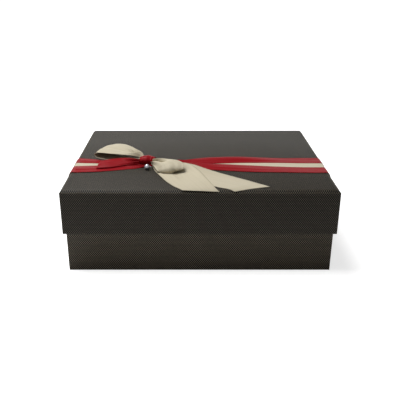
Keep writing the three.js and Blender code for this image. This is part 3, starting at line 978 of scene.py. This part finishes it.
def make_floor(scene):
    """A matt white floor that keeps the box's shadow, and is white where it is far away."""
    bm = bmesh.new()
    bmesh.ops.create_grid(bm, x_segments=1, y_segments=1, size=FLOOR_HALF)
    mesh = bpy.data.meshes.new("floor")
    bm.to_mesh(mesh)
    bm.free()
    floor = bpy.data.objects.new("floor", mesh)
    scene.collection.objects.link(floor)
    made, tree, shader = material("White floor")
    shader.inputs["Base Color"].default_value = rgba((1, 1, 1), FLOOR_TONE)
    shader.inputs["Roughness"].default_value = 0.9
    shader.inputs["Specular IOR Level"].default_value = 0.0
    shader.inputs["Emission Color"].default_value = (1, 1, 1, 1)
    path = node(tree, "ShaderNodeLightPath").outputs
    bounce = calc(tree, "MULTIPLY", path["Is Diffuse Ray"], FLOOR_BOUNCE)
    where = node(tree, "ShaderNodeTexCoord").outputs["Object"]
    away = node(tree, "ShaderNodeVectorMath", {0: where}, operation="LENGTH").outputs["Value"]
    glow = remap(tree, away, NEAR, FAR, NEAR_GLOW, FAR_GLOW)
    tree.links.new(calc(tree, "MULTIPLY_ADD", path["Is Camera Ray"], glow, bounce),
                   shader.inputs["Emission Strength"])
    mesh.materials.append(made)


def make_surround(scene, ambient):
    """A white world: at full strength in view, weaker as light, and dimmer overhead in a gloss."""
    world = bpy.data.worlds.new("Studio")
    scene.world = world
    world.use_nodes = True
    tree = world.node_tree
    sky = tree.nodes["Background"]
    sky.inputs["Color"].default_value = (1, 1, 1, 1)
    path = node(tree, "ShaderNodeLightPath").outputs
    seen = calc(tree, "MAXIMUM", path["Is Camera Ray"],
                calc(tree, "MAXIMUM", path["Is Glossy Ray"], path["Is Transmission Ray"]))
    direction = node(tree, "ShaderNodeTexCoord").outputs["Generated"]
    height = node(tree, "ShaderNodeSeparateXYZ", {0: direction}).outputs["Z"]
    mirrored = remap(tree, height, BRIGHT_BELOW, DIM_ABOVE, MIRRORED_LOW, MIRRORED_HIGH,
                     smooth=False)
    unseen = calc(tree, "SUBTRACT", 1.0, seen)
    strength = calc(tree, "MULTIPLY_ADD", unseen, ambient, path["Is Camera Ray"])
    strength = calc(tree, "MULTIPLY_ADD", path["Is Glossy Ray"], mirrored, strength)
    strength = calc(tree, "ADD", strength, path["Is Transmission Ray"])
    tree.links.new(strength, sky.inputs["Strength"])


def make_lamp(scene, name, spot, size, power):
    """A round soft lamp, turned towards the box."""
    lamp = bpy.data.lights.new(name, "AREA")
    lamp.shape, lamp.size, lamp.energy = "DISK", size, power
    stand = bpy.data.objects.new(name, lamp)
    stand.location = spot
    stand.rotation_euler = (LAMPS_AIM_AT - Vector(spot)).to_track_quat("-Z", "Y").to_euler()
    scene.collection.objects.link(stand)


def make_camera(scene, looks):
    """The camera in front of the box, looking down on it."""
    eye = bpy.data.cameras.new("camera")
    eye.lens, eye.sensor_width = looks.lens / MM, SENSOR
    eye.shift_x, eye.shift_y = CAMERA_SHIFT
    camera = bpy.data.objects.new("camera", eye)
    camera.location = CAMERA_AT
    camera.rotation_euler = (math.pi / 2 - looks.pitch, 0, 0)
    scene.collection.objects.link(camera)
    scene.camera = camera


def build_stage():
    """The floor, the surround, two lamps and the camera."""
    scene = bpy.context.scene
    looks = scene.gift_stage
    scene.view_settings.view_transform = "Standard"
    make_floor(scene)
    make_surround(scene, looks.ambient)
    make_lamp(scene, "overhead", (-0.4, 0.12, 1.15), 0.75, looks.overhead)
    make_lamp(scene, "front_left", (-0.9, -0.6, 0.3), 0.4, looks.fill)
    make_camera(scene, looks)


# The add-on


class GIFTBOX_OT_finishes(bpy.types.Operator):
    """Makes the materials and gives the boards and liners theirs."""
    bl_idname = "giftbox.finishes"
    bl_label = "Finishes"

    def execute(self, context):
        build_finishes()
        return {"FINISHED"}


class GIFTBOX_OT_lid_cover(bpy.types.Operator):
    """Folds the printed paper round the lid."""
    bl_idname = "giftbox.lid_cover"
    bl_label = "Lid cover"

    def execute(self, context):
        build_lid_cover()
        return {"FINISHED"}


class GIFTBOX_OT_base_cover(bpy.types.Operator):
    """Folds the printed paper round the base."""
    bl_idname = "giftbox.base_cover"
    bl_label = "Base cover"

    def execute(self, context):
        build_base_cover()
        return {"FINISHED"}


class GIFTBOX_OT_bands(bpy.types.Operator):
    """Lays the cream and red ribbons over the lid."""
    bl_idname = "giftbox.bands"
    bl_label = "Band"

    def execute(self, context):
        build_bands()
        return {"FINISHED"}


class GIFTBOX_OT_bow(bpy.types.Operator):
    """Shapes the loops and tails of the cream bow."""
    bl_idname = "giftbox.bow"
    bl_label = "Bow"

    def execute(self, context):
        build_bow()
        return {"FINISHED"}


class GIFTBOX_OT_knot(bpy.types.Operator):
    """Wraps the red knot and its flattened loop."""
    bl_idname = "giftbox.knot"
    bl_label = "Knot"

    def execute(self, context):
        build_knot()
        return {"FINISHED"}


class GIFTBOX_OT_bead(bpy.types.Operator):
    """Turns the metal bead and its stop."""
    bl_idname = "giftbox.bead"
    bl_label = "Bead"

    def execute(self, context):
        build_bead()
        return {"FINISHED"}


class GIFTBOX_OT_stage(bpy.types.Operator):
    """Makes the floor, lamps and camera."""
    bl_idname = "giftbox.stage"
    bl_label = "Stage"

    def execute(self, context):
        build_stage()
        return {"FINISHED"}


STEPS = (GIFTBOX_OT_finishes, GIFTBOX_OT_lid_cover, GIFTBOX_OT_base_cover,
         GIFTBOX_OT_bands, GIFTBOX_OT_bow, GIFTBOX_OT_knot,
         GIFTBOX_OT_bead, GIFTBOX_OT_stage)
SETTINGS = {"gift_cover": CoverSettings, "gift_ribbon": RibbonSettings, "gift_stage": StageSettings}


class GIFTBOX_PT_panel(bpy.types.Panel):
    """Lists the building steps and their settings."""
    bl_label = "Gift box"
    bl_idname = "GIFTBOX_PT_panel"
    bl_space_type = "VIEW_3D"
    bl_region_type = "UI"
    bl_category = "Gift box"

    def draw(self, context):
        for name in SETTINGS:
            settings = getattr(context.scene, name)
            for item in settings.__annotations__:
                self.layout.prop(settings, item)
        for operator in STEPS:
            self.layout.operator(operator.bl_idname)


def register():
    """Adds the settings, the operators and the panel."""
    for item in (*SETTINGS.values(), *STEPS, GIFTBOX_PT_panel):
        bpy.utils.register_class(item)
    for name, kind in SETTINGS.items():
        setattr(bpy.types.Scene, name, PointerProperty(type=kind))


def unregister():
    """Takes them away again."""
    for name in SETTINGS:
        delattr(bpy.types.Scene, name)
    for item in reversed((*SETTINGS.values(), *STEPS, GIFTBOX_PT_panel)):
        bpy.utils.unregister_class(item)


def main():
    """Builds the box on its stage."""
    register()
    bpy.ops.giftbox.finishes()
    bpy.ops.giftbox.lid_cover()
    bpy.ops.giftbox.base_cover()
    bpy.ops.giftbox.bands()
    bpy.ops.giftbox.bow()
    bpy.ops.giftbox.knot()
    bpy.ops.giftbox.bead()
    bpy.ops.giftbox.stage()


if __name__ == "__main__":
    main()
